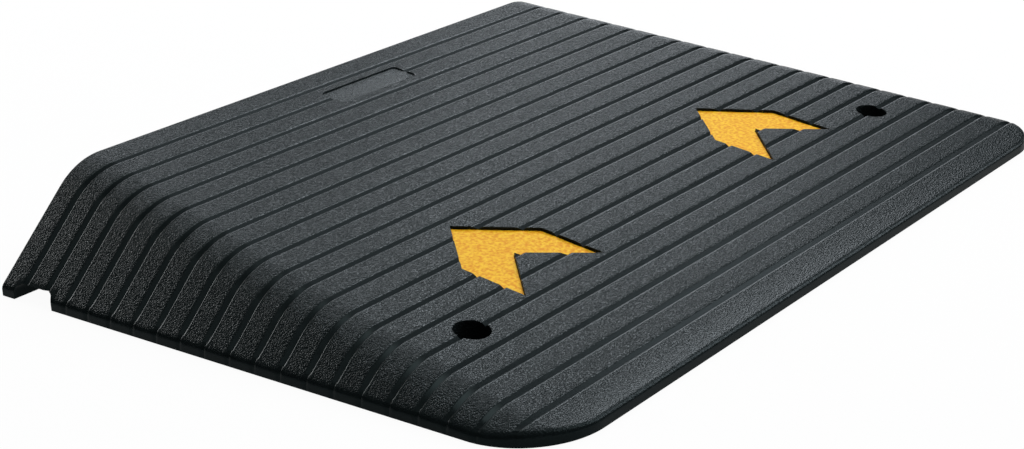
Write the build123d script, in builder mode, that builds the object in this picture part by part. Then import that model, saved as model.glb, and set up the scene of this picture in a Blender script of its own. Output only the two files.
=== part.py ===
"""Rubber kerb ramp: a grooved, moulded wedge with flared ends and two reflective arrow inlays.

Millimetres. The origin is at the bottom centre: X runs along the kerb, Y climbs from the toe
to the heel, and Z is up.
"""
import os
from math import atan2, cos, degrees, radians, sin, sqrt, tan

from build123d import *

# Wedge
width = 900.0
depth = 620.0
rise = 101.6
lip_height = 10.0
toe_corner_radius = 75.0
toe_edge_round = 5.0
heel_edge_round = 0.8

# Flared ends
skirt_height = 9.0
flare_angle = 42.2
shoulder_radius = 76.0
flare_root = 15.0

# Anti-slip grooves across the tread, with rims and floor measured uphill from a groove's middle
groove_count = 20
groove_pitch = 29.1
first_groove = 37.4
groove_toe_rim = -3.0
groove_toe_floor = -2.3
groove_heel_floor = -0.8
groove_heel_rim = 6.4
groove_depth = 2.6
groove_flank_radius = 18.0
groove_clear = 4.0
groove_fade = 2.0

# Cable channel under the heel
channel_from_heel = 17.0
channel_width = 51.5
channel_height = 14.4
channel_toe_radius = 9.0
channel_heel_radius = 7.0

# Anchor holes
anchor_spacing = 682.0
anchor_groove = 4
counterbore_diameter = 32.0
counterbore_floor = 15.0
anchor_diameter = 14.0

# Reflective arrows
arrow_spacing = 409.0
arrow_half_width = 57.5
arrow_tail = 159.0
arrow_shoulder = 227.5
arrow_tip = 287.5
arrow_notch = 215.0
pocket_depth = 5.4
inlay_thickness = 1.7
inlay_clearance = 0.4
inlay_edge_chamfer = 0.5

# Blank panel near the heel
panel_groove = 18
panel_length = 115.0
panel_width = 32.0
panel_corner_radius = 5.0
panel_depth = 1.5
panel_root = 5.0

half_width = width / 2
slope = (rise - lip_height) / depth
slope_angle = degrees(atan2(rise - lip_height, depth))
shoulder_tangent = shoulder_radius * tan(radians(flare_angle / 2))


def groove_run(index):
    """Distance of a groove's centre from the toe."""
    return first_groove + index * groove_pitch


def row_y(run):
    """Y of a distance measured from the toe."""
    return run - depth / 2


def tread_height(run):
    """Height of the tread plane at a distance from the toe."""
    return lip_height + slope * run


def cross_plane(run):
    """Upright plane across the ramp at a distance from the toe, with X to the right and Z up."""
    return Plane.XZ.offset(-row_y(run))


def tread_plane(run, sunk=0.0):
    """Plane in the sloping tread, sunk below it, with its origin on the middle line."""
    plane = Plane(
        origin=(0, row_y(run), tread_height(run)),
        x_dir=(1, 0, 0),
        z_dir=(0, -sin(radians(slope_angle)), cos(radians(slope_angle))),
    )
    return plane.offset(-sunk)


def up_slope(run):
    """Distance along the tread that spans a level distance."""
    return run / cos(radians(slope_angle))


def on_flare(height):
    """Point of the flare's plane, across the ramp, at a height."""
    return half_width - (height - skirt_height) / tan(radians(flare_angle)), height


def shoulder_bend(run):
    """Point across the ramp where the flare's plane bends into the shoulder."""
    return on_flare(tread_height(run) - shoulder_tangent * sin(radians(flare_angle)))


def end_wall_x(run):
    """X of the footprint's end wall, which curves in towards the toe."""
    short = max(toe_corner_radius - run, 0)
    return half_width - toe_corner_radius + sqrt(toe_corner_radius**2 - short**2)


def wedge_outline(run):
    """Outline of the wedge across the ramp, from below the ground, at a distance from the toe."""
    with BuildSketch() as outline:
        with BuildLine():
            side = Polyline((0, -flare_root), on_flare(-flare_root), shoulder_bend(run))
            shoulder = JernArc(side @ 1, side % 1, shoulder_radius, flare_angle)
            Line(shoulder @ 1, (0, tread_height(run)))
            mirror(about=Plane.YZ)
        make_face()
    return outline.sketch


def under_tread(uphill, sunk):
    """Point of a groove's section, uphill of its middle and sunk below the sloping tread."""
    return uphill, sunk - slope * uphill


def groove_cutter(run):
    """Solid of one groove, which follows both end flares and fades out down the skirts."""
    height = tread_height(run)
    start_x, start_z = on_flare(-flare_root)
    with BuildPart() as cutter:
        with BuildLine(cross_plane(run)) as route:
            right_flare = Line((start_x, start_z), shoulder_bend(run))
            right_shoulder = JernArc(right_flare @ 1, right_flare % 1, shoulder_radius, flare_angle)
            tread_end = (right_shoulder @ 1).X
            tread = Line((tread_end, height), (-tread_end, height))
            left_shoulder = JernArc(tread @ 1, tread % 1, shoulder_radius, flare_angle)
            Line(left_shoulder @ 1, (-start_x, start_z))
        path = route.wire()
        with BuildSketch(Plane(path @ 0, x_dir=(0, 1, 0), z_dir=path % 0)):
            with BuildLine():
                walls = Polyline(
                    under_tread(groove_heel_rim, 0),
                    under_tread(groove_heel_rim, -groove_clear),
                    under_tread(groove_toe_rim, -groove_clear),
                    under_tread(groove_toe_rim, 0),
                    under_tread(groove_toe_floor, groove_depth),
                    under_tread(groove_heel_floor, groove_depth),
                )
                RadiusArc(walls @ 0, walls @ 1, groove_flank_radius)
            make_face()
        sweep(path=path)
        # Runs that fade out towards the ground on both skirts
        wall = end_wall_x(run)
        with BuildSketch(cross_plane(run + groove_heel_floor)):
            with BuildLine():
                Polyline(
                    (wall, 0),
                    (wall + groove_clear, 0),
                    (wall + groove_clear, skirt_height),
                    (wall - groove_fade, skirt_height),
                    close=True,
                )
            make_face()
            mirror(about=Plane.YZ)
        extrude(amount=groove_heel_floor - groove_toe_floor)
    return cutter.part


def arrow_outline(shrink=0.0):
    """Chevron outline in a tread plane whose origin is at the arrow's tail."""
    tip = up_slope(arrow_tip - arrow_tail)
    shoulder = up_slope(arrow_shoulder - arrow_tail)
    notch = up_slope(arrow_notch - arrow_tail)
    with BuildSketch() as outline:
        with BuildLine():
            Polyline(
                (0, tip),
                (arrow_half_width, shoulder),
                (arrow_half_width, 0),
                (0, notch),
                (-arrow_half_width, 0),
                (-arrow_half_width, shoulder),
                close=True,
            )
        make_face()
        if shrink:
            offset(amount=-shrink, kind=Kind.INTERSECTION, mode=Mode.REPLACE)
    return outline.sketch


arrow_x = arrow_spacing / 2
pocket_outline = arrow_outline()
inlay_outline = arrow_outline(inlay_clearance)
anchor_places = [(-anchor_spacing / 2, row_y(groove_run(anchor_groove))),
                 (anchor_spacing / 2, row_y(groove_run(anchor_groove)))]
grooves = [groove_cutter(groove_run(index)) for index in range(groove_count)]

with BuildPart() as ramp_body:
    # Wedge with a flare at each end, cut to the footprint with its rounded toe corners
    for run in (depth, 0):
        with BuildSketch(cross_plane(run)):
            add(wedge_outline(run))
    loft(ruled=True)
    with BuildSketch() as footprint:
        Rectangle(width, depth)
        fillet(footprint.vertices().group_by(Axis.Y)[0], toe_corner_radius)
    extrude(amount=rise, mode=Mode.INTERSECT)
    toe_wall = ramp_body.faces().filter_by(Axis.Y).sort_by(Axis.Y)[0]
    fillet(toe_wall.edges().sort_by(Axis.Z)[-1], toe_edge_round)
    heel_wall = ramp_body.faces().filter_by(Axis.Y).sort_by(Axis.Y)[-1]
    fillet(heel_wall.edges().filter_by(lambda edge: edge.center().Z > 0), heel_edge_round)
    add(grooves, mode=Mode.SUBTRACT)

    # Smooth blank panel, which closes the groove that it stands on
    with BuildSketch(tread_plane(groove_run(panel_groove), panel_depth)):
        RectangleRounded(panel_length, panel_width, panel_corner_radius)
    extrude(amount=-panel_root)
    with BuildSketch(tread_plane(groove_run(panel_groove), panel_depth)):
        RectangleRounded(panel_length, panel_width, panel_corner_radius)
    extrude(amount=panel_root, mode=Mode.SUBTRACT)

    # Arrow pockets
    with BuildSketch(tread_plane(arrow_tail, pocket_depth)):
        with Locations((-arrow_x, 0), (arrow_x, 0)):
            add(pocket_outline)
    extrude(amount=2 * pocket_depth, mode=Mode.SUBTRACT)

    # Counterbored anchor holes
    with BuildSketch(Plane.XY.offset(counterbore_floor)):
        with Locations(anchor_places):
            Circle(counterbore_diameter / 2)
    extrude(amount=rise, mode=Mode.SUBTRACT)
    with BuildSketch():
        with Locations(anchor_places):
            Circle(anchor_diameter / 2)
    extrude(amount=counterbore_floor, mode=Mode.SUBTRACT)

    # Cable channel, open at both ends and to the ground
    with BuildSketch(Plane.YZ):
        channel_y = depth / 2 - channel_from_heel - channel_width / 2
        with Locations((channel_y, 0)):
            channel = Rectangle(channel_width, 2 * channel_height)
        toe_corner, heel_corner = channel.vertices().group_by(Axis.Y)[-1].sort_by(Axis.X)
        fillet(toe_corner, channel_toe_radius)
        fillet(heel_corner, channel_heel_radius)
    extrude(amount=width, both=True, mode=Mode.SUBTRACT)

with BuildPart() as left_arrow_inlay:
    with BuildSketch(tread_plane(arrow_tail, pocket_depth)):
        with Locations((-arrow_x, 0)):
            add(inlay_outline)
    extrude(amount=inlay_thickness)
    chamfer(left_arrow_inlay.faces().sort_by(Axis.Z)[-1].edges(), inlay_edge_chamfer)

with BuildPart() as right_arrow_inlay:
    mirror(left_arrow_inlay.part, about=Plane.YZ)

os.makedirs("parts", exist_ok=True)
ramp_body.part.label = "ramp_body"
export_step(ramp_body.part, "parts/ramp_body.step")
left_arrow_inlay.part.label = "left_arrow_inlay"
export_step(left_arrow_inlay.part, "parts/left_arrow_inlay.step")
right_arrow_inlay.part.label = "right_arrow_inlay"
export_step(right_arrow_inlay.part, "parts/right_arrow_inlay.step")
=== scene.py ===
"""Rubber kerb ramp: grooved rubber body, beaded arrow sheets, floor, light and camera.

Metres, in the CAD frame: X along the kerb, Y uphill from the toe to the heel, Z up.
A run is a distance uphill from the toe.
"""
from math import acos, asin, atan, copysign, cos, hypot, radians, sin, sqrt, tan

import bmesh
import bpy
from mathutils import Matrix, Vector


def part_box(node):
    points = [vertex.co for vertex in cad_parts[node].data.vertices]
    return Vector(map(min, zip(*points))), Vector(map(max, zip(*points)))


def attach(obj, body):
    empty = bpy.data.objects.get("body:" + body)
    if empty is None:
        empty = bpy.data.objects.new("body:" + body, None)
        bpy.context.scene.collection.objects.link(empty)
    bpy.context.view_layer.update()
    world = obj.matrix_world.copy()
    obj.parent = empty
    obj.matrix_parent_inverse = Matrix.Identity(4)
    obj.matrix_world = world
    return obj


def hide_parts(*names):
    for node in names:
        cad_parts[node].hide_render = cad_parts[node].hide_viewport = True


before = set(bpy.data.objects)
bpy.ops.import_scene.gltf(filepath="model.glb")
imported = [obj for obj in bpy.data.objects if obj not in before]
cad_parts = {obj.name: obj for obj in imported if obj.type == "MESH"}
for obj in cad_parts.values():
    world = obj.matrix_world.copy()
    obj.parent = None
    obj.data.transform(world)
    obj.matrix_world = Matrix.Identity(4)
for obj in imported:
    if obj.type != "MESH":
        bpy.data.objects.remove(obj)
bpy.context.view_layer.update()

mm = 0.001
tiny = 0.01 * mm

# Wedge
low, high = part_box("ramp_body")
half_width = high.x
toe_y = low.y
heel_y = high.y
depth = heel_y - toe_y
rise = 101.6 * mm
lip_height = 10 * mm
slope = (rise - lip_height) / depth
slope_angle = atan(slope)

# Rounded edges: toe corners in plan, upper edge of the toe lip and of the end skirts, and heel edge
toe_corner_radius = 75 * mm
toe_corner_steps = 16
edge_round = 5 * mm
edge_steps = 8
end_round = 8 * mm
heel_round = 0.9 * mm
heel_round_steps = 3

# Flared ends
skirt_height = 9 * mm
flare_angle = radians(42.2)
shoulder_radius = 76 * mm
shoulder_steps = 14
shoulder_tangent = shoulder_radius * tan(flare_angle / 2)

# Least distance between neighbouring points of the skin, and least width of the shoulder's arc
least_gap = 1 * mm
least_arc = 6 * mm

# Anti-slip grooves
groove_count = 20
groove_pitch = 29.1 * mm
first_groove = 37.4 * mm
groove_depth = 2.6 * mm

# Round toe side of a groove and straight heel side with a rounded rim, uphill of the groove's middle
toe_rim = -5.3 * mm
toe_radius = 4.5 * mm
toe_turn = acos(1 - groove_depth / toe_radius)
toe_steps = 10
heel_floor = -1.15 * mm
heel_slope = 0.52
heel_rim = 5.4 * mm
heel_bend = 2 * (heel_rim - heel_floor - groove_depth / heel_slope)
heel_steps = 8

# Spread of the grooves on the flares, as a share of the run from a middle one
flare_spread = 0.0074
spread_middle = 355 * mm

# Share of a groove's depth that is left on the end skirts, and the width over which it fades there,
# as the spread does before the heel
end_depth = 0.3
end_fade = 9 * mm

# Cable channel under the heel
channel_from_heel = 17 * mm
channel_width = 51.5 * mm
channel_height = 14.4 * mm
channel_y = heel_y - channel_from_heel - channel_width / 2
channel_toe_radius = 9 * mm
channel_heel_radius = 7 * mm
channel_steps = 8

# Anchor holes
anchor_x = 341 * mm
anchor_groove = 4
anchor_sides = 72
counterbore_radius = 16 * mm
counterbore_floor = 15 * mm
anchor_radius = 7 * mm

# Reflective arrows
arrow_x = 204.5 * mm
arrow_half_width = 57.5 * mm
arrow_tail = 159 * mm
arrow_shoulder = 227.5 * mm
arrow_tip = 287.5 * mm
arrow_notch = 215 * mm
pocket_depth = 5.4 * mm
sheet_thickness = 2.5 * mm
sheet_clearance = 0.4 * mm
sheet_cuts = 90
bead_size = 1.3 * mm
bead_height = 0.3 * mm

# Blank panel near the heel
panel_groove = 18
panel_length = 115 * mm
panel_width = 32 * mm
panel_corner_radius = 5 * mm
panel_corner_steps = 6
panel_depth = 1.5 * mm
panel_root = 5 * mm
panel_stock = 0.2 * mm

# Spare length of a cutter past the face that it opens, and the chamfer that it leaves on the rim
spare = 6 * mm
rim_chamfer = 0.3 * mm

# Angles between two faces above which their edge stays sharp
body_crease = radians(35)
sheet_crease = radians(60)

# Smooth part of a groove, uphill of its middle, the width over which the grain starts beside it,
# and how far past the outermost grooves the smoothing is kept
smooth_start = -5.1 * mm
smooth_end = 3.7 * mm
smooth_fade = 1 * mm
smooth_reach = 7 * mm

# Grain of the rubber: levels over the ground and places before the heel where it starts and is full
grain_start = skirt_height - 2 * mm
grain_full = skirt_height + 6 * mm
heel_grain_start = 0.2 * mm
heel_grain_full = 0.8 * mm
panel_grain = 0.46
panel_grain_fade = 0.3 * mm

# Pebbles of the grain with wavering outlines, the creases between them, dull specks and broad mottling
pebble_size = 1.6 * mm
pebble_waver = 0.6 * mm
waver_size = 1.5 * mm
waver_detail = 2
crease_start = 0.3
crease_full = 0.8
crease_depth = 0.5 * mm
speck_size = 2.4 * mm
speck_detail = 1
speck_start = 0.4
speck_full = 0.6
mottle_size = 40 * mm
mottle_detail = 3

# Painted shade on the rubber's foot, its gloss taken away near the ground: levels where the gloss is
# full and where it is least, the share that is lost, and how high and how wide it goes round the cable
# channel
lip_shade_start_level = skirt_height
lip_shade_full_level = skirt_height - 3 * mm
skirt_shade_start_level = skirt_height + 5 * mm
skirt_shade_full_level = skirt_height - 1 * mm
foot_shade_share = 0.6
channel_foot = 2 * mm
channel_fade = 4 * mm

# Colours and gloss of the rubber
rubber_dark = (0.0054, 0.0078, 0.0082, 1)
rubber_pale = (0.0082, 0.0117, 0.0122, 1)
rubber_roughness = 0.22
mottle_roughness = 0.06
crease_roughness = 0.15
rubber_gloss = 0.12
rubber_gloss_tint = (0.70, 0.97, 1.0, 1)
speck_matt = 0.45

# Colours and gloss of the sheets
sheet_amber = (0.84, 0.33, 0.002, 1)
sheet_gold = (1.0, 0.60, 0.024, 1)
fleck_size = 3.2 * mm
fleck_detail = 1
fleck_start = 0.35
fleck_full = 0.65
sheet_roughness = 0.6
sheet_gloss = 0.1

# Floor, and the share of its white that it shows by itself
floor_size = 24
floor_drop = 0.2 * mm
floor_paint = (0.9, 0.9, 0.9, 1)
floor_white = (1, 1, 1, 1)
floor_glow = 0.95

# Soft lights: name, height and turn round the ramp in degrees, size, power and colour
lamp_reach = 5
cool = (0.90, 0.94, 1)
white = (1, 1, 1)
softboxes = (
    ("front", 58, -60, 2.6, 80, white),
    ("front_right", 30, -30, 2.1, 82, cool),
    ("right_low", 10, 30, 1.8, 23, cool),
    ("right", 36, 27, 1.5, 60, cool),
    ("right_far", 36, 42, 1.2, 24, cool),
    ("right_high", 46, 5, 1.8, 12, cool),
    ("back_right", 10, 62, 1.8, 33, cool),
    ("back_low", 10, 85, 1.8, 33, white),
    ("back", 14, 90, 1.3, 20, white),
    ("back_high", 58, 60, 2.6, 62, white),
    ("left_back", 42, 115, 1.5, 8, white),
    ("left_high", 58, 175, 2.6, 14, white),
    ("front_left", 58, 235, 2.6, 12, white),
)

# Camera: place, look down, turn from +X and roll in degrees, and lens in millimetres
camera_place = (-1.45423, -1.09023, 0.66378)
camera_down = 20.455
camera_turn = 38.562
camera_roll = -2.745
camera_lens = 68.577


class Wire:
    """One output of a shader node. Arithmetic on it adds Math nodes."""

    def __init__(self, finish, socket):
        self.finish = finish
        self.socket = socket

    def math(self, operation, first, second):
        return self.finish.node("ShaderNodeMath", {"operation": operation}, {0: first, 1: second})

    def __add__(self, other):
        return self.math("ADD", self, other)

    def __radd__(self, other):
        return self.math("ADD", other, self)

    def __sub__(self, other):
        return self.math("SUBTRACT", self, other)

    def __rsub__(self, other):
        return self.math("SUBTRACT", other, self)

    def __mul__(self, other):
        return self.math("MULTIPLY", self, other)

    def __rmul__(self, other):
        return self.math("MULTIPLY", other, self)


class Finish:
    """The nodes of a material or of the world."""

    def __init__(self, owner):
        owner.use_nodes = True
        self.owner = owner
        self.tree = owner.node_tree
        self.tree.nodes.clear()

    def node(self, kind, settings=None, sockets=None, out=0):
        """Add a node, set its settings and then its sockets, and give back one output."""
        made = self.tree.nodes.new(kind)
        for key, value in (settings or {}).items():
            setattr(made, key, value)
        for key, value in (sockets or {}).items():
            if isinstance(value, Wire):
                self.tree.links.new(value.socket, made.inputs[key])
            else:
                made.inputs[key].default_value = value
        return Wire(self, made.outputs[out]) if made.outputs else None


def start_piece(name):
    """Name the primitive that was just added."""
    piece = bpy.context.object
    piece.name = name
    piece.data.name = name
    return piece


def hold(piece):
    """Make a piece the only one selected."""
    bpy.ops.object.select_all(action="DESELECT")
    bpy.context.view_layer.objects.active = piece
    piece.select_set(True)


def edit(piece):
    """Open a piece in edit mode."""
    hold(piece)
    bpy.ops.object.mode_set(mode="EDIT")


def close():
    """Go back to object mode."""
    bpy.ops.object.mode_set(mode="OBJECT")


def pick(piece, kind, wanted):
    """Select the vertices, edges or faces of the edited piece that pass a test."""
    bpy.ops.mesh.select_mode(type=kind)
    bpy.ops.mesh.select_all(action="DESELECT")
    shape = bmesh.from_edit_mesh(piece.data)
    for part in {"VERT": shape.verts, "EDGE": shape.edges, "FACE": shape.faces}[kind]:
        part.select_set(wanted(part))
    shape.select_flush_mode()
    bmesh.update_edit_mesh(piece.data)


def face_outwards():
    """Turn all the faces of the edited piece outwards."""
    bpy.ops.mesh.select_all(action="SELECT")
    bpy.ops.mesh.normals_make_consistent(inside=False)


def round_edges(offset, segments):
    """Round the selected edges."""
    bpy.ops.mesh.bevel(
        offset=offset, offset_type="OFFSET", segments=segments, profile=0.5, affect="EDGES"
    )


def draw_out(height):
    """Extrude what is selected along Z."""
    bpy.ops.mesh.extrude_region_move(TRANSFORM_OT_translate={"value": (0, 0, height)})


def apply_modifier(piece, kind, **settings):
    """Add a modifier to a piece and apply it."""
    hold(piece)
    modifier = piece.modifiers.new(kind.lower(), kind)
    for key, value in settings.items():
        setattr(modifier, key, value)
    bpy.ops.object.modifier_apply(modifier=modifier.name)


def mirror(piece):
    """Add the other half of a piece across the middle line."""
    apply_modifier(piece, "MIRROR", use_axis=(True, False, False), merge_threshold=tiny)


def settle(piece, place):
    """Put a piece in its place and take that into its mesh."""
    hold(piece)
    piece.matrix_world = place
    bpy.ops.object.transform_apply(location=True, rotation=True, scale=True)


def combine(piece, other, operation):
    """Cut a piece with another solid, or join them. The other solid is used up."""
    apply_modifier(piece, "BOOLEAN", operation=operation, object=other, solver="EXACT")
    bpy.data.objects.remove(other)


def run_y(run):
    """Y of a run."""
    return toe_y + run


def groove_run(index):
    """Run to a groove's middle."""
    return first_groove + index * groove_pitch


def tread_height(run):
    """Height of the tread at a run."""
    return lip_height + slope * run


def tread_place(x, run):
    """Frame in the sloping tread: X along the kerb, Y uphill and Z out of the tread."""
    spot = Matrix.Translation((x, run_y(run), tread_height(run)))
    return spot @ Matrix.Rotation(slope_angle, 4, "X")


def shoulder_ends(run):
    """X where the flare's plane bends into the shoulder, and X where the tread begins."""
    corner_x = half_width - (tread_height(run) - skirt_height) / tan(flare_angle)
    return corner_x + shoulder_tangent * cos(flare_angle), corner_x - shoulder_tangent


def plain_skin(run, x):
    """Height and lean of the skin with sharp edges."""
    bend_x, level_x = shoulder_ends(run)
    if x > bend_x:
        return skirt_height + (half_width - x) * tan(flare_angle), flare_angle
    lean = asin(max(x - level_x, 0) / shoulder_radius)
    return tread_height(run) - shoulder_radius * (1 - cos(lean)), lean


def spread_y(run, lean):
    """Y of a run, with the spread that the grooves have on the flares."""
    share = max(min(run / toe_corner_radius - 1, (depth - run) / end_fade, 1), 0)
    return run_y(run) + share * flare_spread * (run - spread_middle) * min(lean / flare_angle, 1)


def skin_point(run, x, sunk):
    """Point of the skin with its rounded edge, sunk into the rubber for a groove."""
    height, lean = plain_skin(run, x)
    across = max(x - half_width + toe_corner_radius, 0)
    along = max(toe_corner_radius - run, 0)
    reach = hypot(across, along)
    margin = max(toe_corner_radius - reach, 0)
    radius = edge_round
    if reach > 0:
        radius += (end_round - edge_round) * (across / reach)**2
    if margin < radius:
        wall = toe_corner_radius / reach - 1
        inside = (toe_corner_radius - radius) / reach - 1
        wall_height = plain_skin(run - along * wall, x + across * wall)[0]
        inside_height = plain_skin(run - along * inside, x + across * inside)[0]
        rising = atan((inside_height - wall_height) / radius)
        if margin < radius * (1 - sin(rising)):
            lean = asin(1 - margin / radius)
            height -= radius / cos(rising) - (radius - margin) * tan(rising) - radius * cos(lean)
    sunk *= end_depth + (1 - end_depth) * min(max((margin - edge_round) / end_fade, 0), 1)
    return Vector((x - sunk * sin(lean), spread_y(run, lean), height - sunk * cos(lean)))


def edge_x(run, margin):
    """X of the place on a cross-section that is a margin inside the footprint's outline."""
    short = max(toe_corner_radius - run, 0)
    return half_width - toe_corner_radius + sqrt(max((toe_corner_radius - margin)**2 - short**2, 0))


def round_step(step):
    """Margin inside the outline of one step over the rounded edge."""
    return edge_round * (1 - cos(radians(90) * step / edge_steps))


def section(run, sunk):
    """Points of half a cross-section, from the ground up the end wall to the middle line."""
    bend_x, level_x = shoulder_ends(run)
    points = [Vector((edge_x(run, 0), spread_y(run, flare_angle), 0))]
    for step in range(edge_steps + 1):
        margin = min(1, run / edge_round) * round_step(step)
        points.append(skin_point(run, edge_x(run, margin), sunk))
    arc_start = min(bend_x, edge_x(run, min(run, edge_round)) - least_gap)
    arc_end = min(level_x, arc_start - least_arc)
    full_depth_x = max(edge_x(run, edge_round + end_fade), arc_start + least_gap / 2)
    points.append(skin_point(run, full_depth_x, sunk))
    for step in range(shoulder_steps + 1):
        points.append(skin_point(run, arc_start + (arc_end - arc_start) * step / shoulder_steps, sunk))
    points.append(skin_point(run, 0, sunk))
    return points


def groove_stations(middle):
    """Runs over one groove, each with how far the skin is sunk there."""
    stations = []
    for step in range(toe_steps + 1):
        turn = toe_turn * step / toe_steps
        stations.append((middle + toe_rim + toe_radius * sin(turn), toe_radius * (1 - cos(turn))))
    stations.append((middle + heel_floor, groove_depth))
    for step in range(heel_steps + 1):
        left = heel_bend * (1 - step / heel_steps)
        stations.append((middle + heel_rim - left, heel_slope * left**2 / (2 * heel_bend)))
    return stations


def skin_stations():
    """Runs of all the cross-sections, each with how far the skin is sunk there."""
    stations = [(depth, 0)]
    middles = [groove_run(index) for index in range(groove_count)]
    for middle in middles:
        stations += groove_stations(middle)
    plain = [round_step(step) for step in range(edge_steps + 1)]
    for step in range(1, toe_corner_steps + 1):
        turn = radians(90) * step / toe_corner_steps
        plain.append(edge_round + (toe_corner_radius - edge_round) * (1 - cos(turn)))
    for run in plain:
        if not any(toe_rim - least_gap < run - middle < heel_rim + least_gap for middle in middles):
            stations.append((run, 0))
    return sorted(stations)


def lay_skin():
    """The ramp's skin: a grid laid over half of its cross-sections, and mirrored."""
    sections = [section(run, sunk) for run, sunk in skin_stations()]
    bpy.ops.mesh.primitive_grid_add(
        x_subdivisions=len(sections[0]) - 1, y_subdivisions=len(sections) - 1
    )
    skin = start_piece("rubber_ramp")
    places = [place for points in sections for place in points]
    for vertex, place in zip(skin.data.vertices, places):
        vertex.co = place
    edit(skin)
    bpy.ops.mesh.select_all(action="SELECT")
    bpy.ops.mesh.remove_doubles(threshold=tiny)
    close()
    mirror(skin)
    return skin


def on_heel(edge):
    """Whether an edge is on the heel wall's outline above the ground."""
    ends = [vertex.co for vertex in edge.verts]
    return all(place.y > heel_y - tiny for place in ends) and any(place.z > tiny for place in ends)


def close_body(body):
    """Close the skin at the toe, the heel and the ground, and round the heel's edge."""
    edit(body)
    for rim in (
        lambda vertex: vertex.co.y < toe_y + tiny,
        lambda vertex: vertex.co.y > heel_y - tiny,
        lambda vertex: vertex.co.z < tiny,
    ):
        pick(body, "VERT", rim)
        bpy.ops.mesh.edge_face_add()
    face_outwards()
    pick(body, "EDGE", on_heel)
    round_edges(heel_round, heel_round_steps)
    close()


def anchor_cutter(x):
    """Counterbore with a narrower hole drawn down from its floor."""
    y = run_y(groove_run(anchor_groove))
    middle_z = counterbore_floor + rise / 2
    bpy.ops.mesh.primitive_cylinder_add(
        vertices=anchor_sides, radius=counterbore_radius, depth=rise, location=(x, y, middle_z)
    )
    cutter = start_piece("anchor_cutter")
    edit(cutter)
    pick(cutter, "FACE", lambda face: face.normal.z < tiny - 1)
    bpy.ops.mesh.inset(thickness=counterbore_radius - anchor_radius)
    draw_out(-counterbore_floor - spare)
    close()
    return cutter


def anchor_rim_cutter(x):
    """Cone that chamfers an anchor hole's rim."""
    rim_radius = counterbore_radius / cos(slope_angle)
    height = rim_chamfer + spare
    bpy.ops.mesh.primitive_cone_add(
        vertices=anchor_sides, radius1=rim_radius, radius2=rim_radius + height, depth=height
    )
    cutter = start_piece("anchor_rim_cutter")
    lift = Matrix.Translation((0, 0, (spare - rim_chamfer) / 2))
    settle(cutter, tread_place(x, groove_run(anchor_groove)) @ lift)
    return cutter


def channel_cutter():
    """Block of the cable channel with rounded upper corners."""
    sides = (2 * (half_width + spare), channel_width, 2 * channel_height)
    bpy.ops.mesh.primitive_cube_add(size=1)
    cutter = start_piece("channel_cutter")
    settle(cutter, Matrix.LocRotScale((0, channel_y, 0), None, sides))
    edit(cutter)
    for radius, wall_y in (
        (channel_toe_radius, channel_y - channel_width / 2),
        (channel_heel_radius, channel_y + channel_width / 2),
    ):
        pick(cutter, "EDGE", lambda edge: all(
            vertex.co.z > channel_height - tiny and abs(vertex.co.y - wall_y) < tiny
            for vertex in edge.verts
        ))
        round_edges(radius, channel_steps)
    close()
    return cutter


def panel_block(bottom, top):
    """Block with the panel's rounded outline between two heights over the tread."""
    sides = (panel_length, panel_width, top - bottom)
    bpy.ops.mesh.primitive_cube_add(size=1)
    block = start_piece("panel_block")
    settle(block, Matrix.LocRotScale((0, 0, (bottom + top) / 2), None, sides))
    edit(block)
    pick(block, "EDGE", lambda edge: abs(edge.verts[0].co.z - edge.verts[1].co.z) > tiny)
    round_edges(panel_corner_radius, panel_corner_steps)
    close()
    return block


def panel_cutter():
    """Block that sinks the panel's face and chamfers its rim."""
    cutter = panel_block(-panel_depth, -rim_chamfer)
    grow = 2 * (rim_chamfer + spare)
    wider = (1 + grow / panel_length, 1 + grow / panel_width, 1)
    edit(cutter)
    pick(cutter, "FACE", lambda face: face.normal.z > 1 - tiny)
    draw_out(rim_chamfer + spare)
    bpy.ops.transform.resize(value=wider, center_override=(0, 0, 0))
    close()
    return cutter


def sink_panel(body):
    """Fill the grooves under the panel and cut its face."""
    place = tread_place(0, groove_run(panel_groove))
    filling = panel_block(-panel_depth - panel_root, panel_stock - panel_depth)
    settle(filling, place)
    combine(body, filling, "UNION")
    cutter = panel_cutter()
    settle(cutter, place)
    combine(body, cutter, "DIFFERENCE")


def arrow_corners(shrink):
    """Corners of half a chevron, across and uphill of its tail's middle, drawn in by a margin."""
    tip = (arrow_tip - arrow_tail) / cos(slope_angle)
    shoulder = (arrow_shoulder - arrow_tail) / cos(slope_angle)
    notch = (arrow_notch - arrow_tail) / cos(slope_angle)
    front_fall = (tip - shoulder) / arrow_half_width
    back_fall = notch / arrow_half_width
    side = arrow_half_width - shrink
    front = tip - shrink * hypot(1, front_fall)
    back = notch + shrink * hypot(1, back_fall)
    return (0, back), (side, back - back_fall * side), (0, front), (side, front - front_fall * side)


def half_arrow(name, shrink, level):
    """Half a chevron: a plane with its corners moved to the middle line and to the outer side."""
    bpy.ops.mesh.primitive_plane_add()
    half = start_piece(name)
    for vertex, (across, uphill) in zip(half.data.vertices, arrow_corners(shrink)):
        vertex.co = (across, uphill, level)
    return half


def pocket_cutter(x):
    """Chevron block from an arrow pocket's floor to over the tread, flared to chamfer the rim."""
    cutter = half_arrow("pocket_cutter", 0, -pocket_depth)
    mirror(cutter)
    edit(cutter)
    bpy.ops.mesh.select_all(action="SELECT")
    draw_out(pocket_depth - rim_chamfer)
    draw_out(rim_chamfer + spare)
    face_outwards()
    close()
    narrow = arrow_corners(0)
    wide = arrow_corners(-rim_chamfer - spare)
    for vertex in cutter.data.vertices:
        if vertex.co.z > 0:
            gaps = [hypot(abs(vertex.co.x) - across, vertex.co.y - uphill) for across, uphill in narrow]
            across, uphill = wide[gaps.index(min(gaps))]
            vertex.co.x = copysign(across, vertex.co.x)
            vertex.co.y = uphill
    settle(cutter, tread_place(x, arrow_tail))
    return cutter


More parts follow.
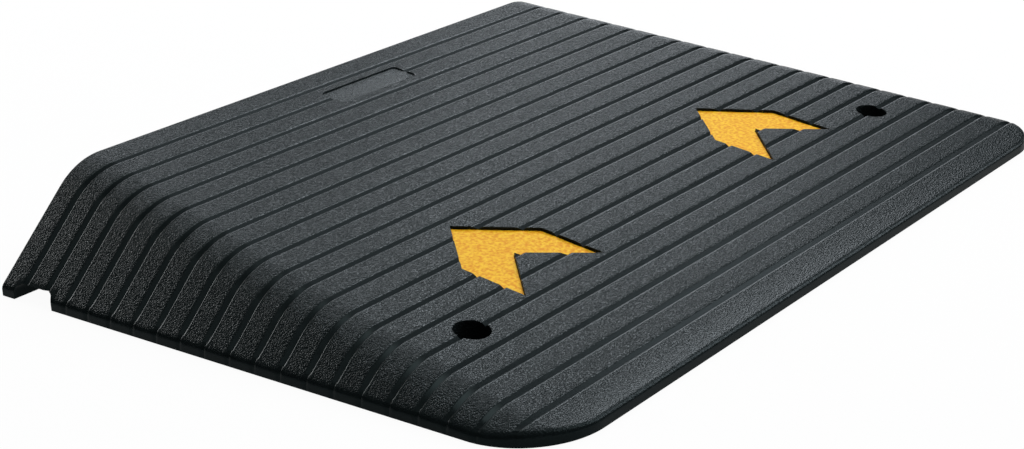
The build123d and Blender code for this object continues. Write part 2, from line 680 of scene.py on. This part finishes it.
def make_body():
    """The whole rubber body with its panel, pockets, holes and channel."""
    body = lay_skin()
    close_body(body)
    sink_panel(body)
    for x in (-arrow_x, arrow_x):
        combine(body, pocket_cutter(x), "DIFFERENCE")
    for x in (-anchor_x, anchor_x):
        combine(body, anchor_cutter(x), "DIFFERENCE")
        combine(body, anchor_rim_cutter(x), "DIFFERENCE")
    combine(body, channel_cutter(), "DIFFERENCE")
    bpy.ops.object.shade_smooth_by_angle(angle=body_crease)
    apply_modifier(body, "WEIGHTED_NORMAL", keep_sharp=True)
    return body


def make_sheet(name, x):
    """Reflective arrow sheet with its beaded upper face, lying on its pocket's floor."""
    sheet = half_arrow(name, sheet_clearance, sheet_thickness - pocket_depth)
    edit(sheet)
    bpy.ops.mesh.select_all(action="SELECT")
    bpy.ops.mesh.subdivide(number_cuts=sheet_cuts)
    close()
    mirror(sheet)
    beading = bpy.data.textures.new(name, "VORONOI")
    beading.noise_scale = bead_size
    apply_modifier(
        sheet, "DISPLACE", texture=beading, texture_coords="LOCAL", strength=-bead_height,
        mid_level=0, direction="Z"
    )
    edit(sheet)
    pick(sheet, "EDGE", lambda edge: edge.is_boundary)
    draw_out(-sheet_thickness)
    bpy.ops.transform.resize(value=(1, 1, 0), center_override=(0, 0, -pocket_depth))
    bpy.ops.mesh.edge_face_add()
    face_outwards()
    close()
    settle(sheet, tread_place(x, arrow_tail))
    bpy.ops.object.shade_smooth_by_angle(angle=sheet_crease)
    return sheet


def fade(value, start, end):
    """A wire that goes from 0 to 1 while a value goes from start to end."""
    sockets = {"Value": value, "From Min": start, "From Max": end}
    return value.finish.node("ShaderNodeMapRange", {}, sockets)


def distance(value, place):
    """How far a value is from a place."""
    return value.finish.node("ShaderNodeMath", {"operation": "ABSOLUTE"}, {0: value - place})


def noise(place, size, detail, out=0):
    """Soft blotches of a size."""
    sockets = {"Vector": place, "Scale": 1 / size, "Detail": detail}
    return place.finish.node("ShaderNodeTexNoise", {}, sockets, out)


def blend(share, first, second):
    """A colour between two colours."""
    sockets = {0: share, 6: first, 7: second}
    return share.finish.node("ShaderNodeMix", {"data_type": "RGBA"}, sockets, 2)


def foot_level(y, z):
    """Height over the ground, taken down over the cable channel so that its rim counts as a skirt, with
    the skirt's painted shade and no grain.
    """
    reach = channel_width / 2
    over_channel = fade(distance(y, channel_y), reach + channel_fade, reach)
    return z - over_channel * (channel_height + channel_foot - skirt_height)


def unspread(x, y):
    """Y without the spread of the grooves on the flares."""
    run = y - toe_y
    corner_x = half_width - (run * slope + (lip_height - skirt_height)) * (1 / tan(flare_angle))
    bend = shoulder_tangent * cos(flare_angle)
    on_flare = fade(distance(x, 0) - corner_x, -shoulder_tangent, bend)
    share = on_flare * fade(run, toe_corner_radius, 2 * toe_corner_radius)
    return y - share * flare_spread * (run - spread_middle)


def on_land(x, y):
    """1 on the lands and 0 in the smooth part of the grooves."""
    middle = (smooth_start + smooth_end) / 2
    half = (smooth_end - smooth_start) / 2
    first_y = run_y(groove_run(0) + middle)
    last_y = run_y(groove_run(groove_count - 1) + middle)
    from_groove = x.finish.node(
        "ShaderNodeMath", {"operation": "PINGPONG"}, {0: unspread(x, y) - first_y, 1: groove_pitch / 2}
    )
    after_first = fade(y, first_y - smooth_reach - smooth_fade, first_y - smooth_reach)
    before_last = fade(y, last_y + smooth_reach + smooth_fade, last_y + smooth_reach)
    return 1 - after_first * before_last * fade(from_groove, half + smooth_fade, half - smooth_fade)


def grained(x, y, level):
    """How much grain there is: all on the lands, some on the panel, none in grooves or on walls."""
    land = on_land(x, y)
    panel_y = run_y(groove_run(panel_groove))
    along_panel = fade(distance(x, 0), panel_length / 2 + panel_grain_fade, panel_length / 2)
    across_panel = fade(distance(y, panel_y), panel_width / 2 + panel_grain_fade, panel_width / 2)
    tread = land + along_panel * across_panel * (panel_grain - land)
    over_edge = fade(level, grain_start, grain_full)
    before_heel = fade(y, heel_y - heel_grain_start, heel_y - heel_grain_full)
    return tread * over_edge * before_heel


def painted_foot_shade(x, level):
    """Painted shade on the foot, as the share of gloss taken away: on the toe lip, a little higher on
    the end skirts, and nowhere above.
    """
    at_end = fade(distance(x, 0), half_width - toe_corner_radius, half_width - edge_round)
    on_lip = fade(level, lip_shade_start_level, lip_shade_full_level)
    on_skirt = fade(level, skirt_shade_start_level, skirt_shade_full_level)
    return ((1 - at_end) * on_lip + at_end * on_skirt) * foot_shade_share


def rubber_finish():
    """Moulded rubber with a fine pebbled grain on the lands, smooth grooves and painted shade on its
    foot, where the gloss is taken away.
    """
    finish = Finish(bpy.data.materials.new("moulded_rubber"))
    place = finish.node("ShaderNodeTexCoord", out="Object")
    x, y, z = (finish.node("ShaderNodeSeparateXYZ", {}, {0: place}, axis) for axis in "XYZ")
    level = foot_level(y, z)
    grain = grained(x, y, level)
    wavered = finish.node("ShaderNodeVectorMath", {"operation": "MULTIPLY_ADD"}, {
        0: noise(place, waver_size, waver_detail, "Color"),
        1: (pebble_waver, pebble_waver, pebble_waver),
        2: place,
    })
    pebbles = finish.node("ShaderNodeTexVoronoi", {}, {"Vector": wavered, "Scale": 1 / pebble_size})
    crease = grain * fade(pebbles, crease_start, crease_full)
    specks = grain * fade(noise(place, speck_size, speck_detail), speck_start, speck_full)
    mottle = noise(place, mottle_size, mottle_detail)
    colour = blend(mottle, rubber_dark, rubber_pale)
    bump = finish.node("ShaderNodeBump", {}, {
        "Height": 1 - crease,
        "Strength": 1.0,
        "Distance": crease_depth,
    })
    glossy = finish.node("ShaderNodeBsdfPrincipled", {}, {
        "Base Color": colour,
        "Roughness": rubber_roughness + mottle * mottle_roughness + crease * crease_roughness,
        "Specular IOR Level": rubber_gloss,
        "Specular Tint": rubber_gloss_tint,
        "Normal": bump,
    })
    # Copy without gloss: it gives the random dull specks and the painted shade on the foot
    unglossed_specks_and_shade = finish.node("ShaderNodeBsdfPrincipled", {}, {"Base Color": colour, "Specular IOR Level": 0.0})
    # Share of gloss: taken away on the foot as painted shade, and partly in the random specks
    gloss = (1 - painted_foot_shade(x, level)) * (1 - specks * speck_matt)
    mixed = finish.node("ShaderNodeMixShader", {}, {0: gloss, 1: unglossed_specks_and_shade, 2: glossy})
    finish.node("ShaderNodeOutputMaterial", {}, {"Surface": mixed})
    return finish.owner


def bead_finish():
    """Golden reflective sheet of tiny beads, with amber flecks."""
    finish = Finish(bpy.data.materials.new("reflective_yellow"))
    place = finish.node("ShaderNodeTexCoord", out="Object")
    flecks = fade(noise(place, fleck_size, fleck_detail), fleck_start, fleck_full)
    shader = finish.node("ShaderNodeBsdfPrincipled", {}, {
        "Base Color": blend(flecks, sheet_amber, sheet_gold),
        "Roughness": sheet_roughness,
        "Specular IOR Level": sheet_gloss,
    })
    finish.node("ShaderNodeOutputMaterial", {}, {"Surface": shader})
    return finish.owner


def floor_finish():
    """White floor that shows its own white and keeps a soft shadow."""
    finish = Finish(bpy.data.materials.new("white_floor"))
    camera_ray, glossy_ray, transmission_ray = (
        finish.node("ShaderNodeLightPath", out=ray)
        for ray in ("Is Camera Ray", "Is Glossy Ray", "Is Transmission Ray")
    )
    seen = fade(camera_ray + glossy_ray + transmission_ray, 0, 1)
    paint = finish.node("ShaderNodeBsdfDiffuse", {}, {"Color": floor_paint})
    glow = finish.node("ShaderNodeEmission", {}, {"Color": floor_white, "Strength": 1.0})
    mixed = finish.node("ShaderNodeMixShader", {}, {0: seen * floor_glow, 1: paint, 2: glow})
    finish.node("ShaderNodeOutputMaterial", {}, {"Surface": mixed})
    return finish.owner


def lay_floor():
    """Wide plain floor under the ramp."""
    bpy.ops.mesh.primitive_plane_add(size=floor_size, location=(0, 0, -floor_drop))
    floor = start_piece("floor")
    floor.data.materials.append(floor_finish())


def softbox(name, height, turn, size, power, colour):
    """Square soft light that faces the ramp from a height and a turn round it, in degrees."""
    aim = Matrix.Rotation(radians(turn), 3, "Z") @ Matrix.Rotation(radians(-height), 3, "Y")
    toward = aim @ Vector((1, 0, 0))
    bpy.ops.object.light_add(type="AREA", location=lamp_reach * toward)
    lamp = bpy.context.object
    lamp.name = name
    lamp.data.size = size
    lamp.data.energy = power
    lamp.data.color = colour
    lamp.rotation_euler = toward.to_track_quat("Z", "Y").to_euler()


def darken_world(scene):
    """World that gives no light of its own."""
    world = bpy.data.worlds.new("studio")
    scene.world = world
    studio = Finish(world)
    sky = studio.node("ShaderNodeBackground", {}, {"Strength": 0.0})
    studio.node("ShaderNodeOutputWorld", {}, {"Surface": sky})


def place_camera(scene):
    """Camera beyond the left toe corner, looking uphill across the ramp."""
    bpy.ops.object.camera_add(location=camera_place)
    camera = bpy.context.object
    camera.rotation_euler = (radians(90 - camera_down), 0, radians(camera_turn - 90))
    camera.rotation_euler.rotate_axis("Z", radians(camera_roll))
    camera.data.lens = camera_lens
    scene.camera = camera


rubber = rubber_finish()
beads = bead_finish()

body = make_body()
body.data.materials.append(rubber)
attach(body, "root")
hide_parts("ramp_body")

for side, x in (("left", -arrow_x), ("right", arrow_x)):
    sheet = make_sheet(f"{side}_arrow_sheet", x)
    sheet.data.materials.append(beads)
    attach(sheet, "root")
    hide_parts(f"{side}_arrow_inlay")

lay_floor()
for name, height, turn, size, power, colour in softboxes:
    softbox(name, height, turn, size, power, colour)
scene = bpy.context.scene
scene.view_settings.view_transform = "Standard"
darken_world(scene)
place_camera(scene)
